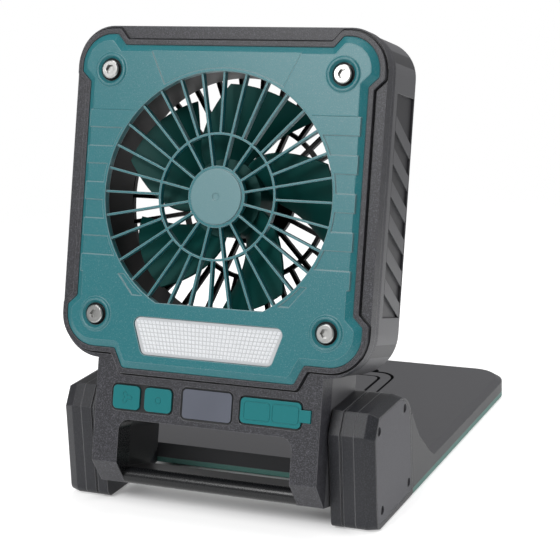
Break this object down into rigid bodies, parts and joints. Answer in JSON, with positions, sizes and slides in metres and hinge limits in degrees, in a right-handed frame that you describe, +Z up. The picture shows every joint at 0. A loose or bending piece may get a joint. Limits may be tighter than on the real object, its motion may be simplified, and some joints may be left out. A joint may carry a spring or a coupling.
{
  "type": "portable camping fan",
  "caption": "Portable camping fan: square fan head with LED strip, control panel and carrying grip, tilting on a flat folding base with hinge blocks and a hanging loop.",
  "frame": {"origin": "centre of the footprint of the bounding box, on the plane the rubber feet stand on", "axes": "+X to the viewer's right when facing the grille, +Y from the front to the back of the base, +Z up"},
  "size_m": [0.212, 0.312, 0.2973],
  "materials": {
    "green_plastic": "satin moulded",
    "steel": "plated",
    "black_plastic": "fine textured",
    "lens": "translucent white with a small prism grid",
    "board": "solder resist",
    "grey_plastic": "smooth satin",
    "side_plastic": "fine textured",
    "base_green": "satin moulded",
    "blade_plastic": "glossy moulded",
    "motor_steel": "plated can",
    "window": "dark glossy",
    "module": "moulded",
    "port_metal": "plated shell",
    "rubber": "matt",
    "nylon": "plain",
    "cell_sleeve": "shrink sleeve",
    "nickel": "plated strip"
  },
  "bodies": {
    "base": {"base_top_shell": "grey_plastic", "base_bottom_shell": "base_green", "base_screws": "steel", "rubber_feet": "rubber", "loop_pins": "steel", "left_block_inner": "grey_plastic", "right_block_inner": "grey_plastic", "left_block_outer": "grey_plastic", "right_block_outer": "grey_plastic", "left_side_cover": "side_plastic", "right_side_cover": "side_plastic", "left_side_screws": "steel", "right_side_screws": "steel", "left_battery_cells": "cell_sleeve", "right_battery_cells": "cell_sleeve", "left_battery_contacts": "nickel", "right_battery_contacts": "nickel", "left_friction_washer": "nylon", "right_friction_washer": "nylon"},
    "head": {"front_cover": "green_plastic", "cover_screws": "steel", "screw_washers": "black_plastic", "led_lens": "lens", "led_board": "board", "front_shell": "black_plastic", "rear_housing": "grey_plastic", "housing_screws": "steel", "air_duct": "black_plastic", "rear_grille": "black_plastic", "motor": "motor_steel", "motor_screws": "steel", "display_window": "window", "display_module": "module", "control_board": "board", "switches": "module", "charging_ports": "port_metal", "left_hinge_pin": "steel", "right_hinge_pin": "steel"},
    "fan": {"fan_blades": "blade_plastic", "fan_nut": "steel", "motor_shaft": "steel"},
    "fan_button": {"fan_button": "green_plastic"},
    "light_button": {"light_button": "green_plastic"},
    "port_cover": {"port_cover": "green_plastic"},
    "hanging_loop": {"hanging_loop": "grey_plastic"}
  },
  "joints": [
    {"name": "head_tilt", "type": "hinge", "parent": "base", "child": "head", "pos_m": [0, -0.11505, 0.0332], "axis": [-1, 0, 0], "range_deg": [-15, 75.25]},
    {"name": "fan_spin", "type": "hinge", "parent": "head", "child": "fan", "pos_m": [0, -0.08888, 0.19073], "axis": [0, -0.967, 0.2546], "continuous": true},
    {"name": "fan_button_press", "type": "slide", "parent": "head", "child": "fan_button", "axis": [0, 0.967, -0.2546], "range_m": [0, 0.001], "stiffness_N_per_m": 1500, "springref_m": -0.0002},
    {"name": "light_button_press", "type": "slide", "parent": "head", "child": "light_button", "axis": [0, 0.967, -0.2546], "range_m": [0, 0.001], "stiffness_N_per_m": 1500, "springref_m": -0.0002},
    {"name": "port_cover_hinge", "type": "hinge", "parent": "head", "child": "port_cover", "pos_m": [0.02465, -0.1451, 0.074], "axis": [0, -0.2546, -0.967], "range_deg": [0, 100]},
    {"name": "hanging_loop_swing", "type": "hinge", "parent": "base", "child": "hanging_loop", "pos_m": [0, 0.03495, 0.0125], "axis": [-1, 0, 0], "range_deg": [-105, 0]}
  ]
}
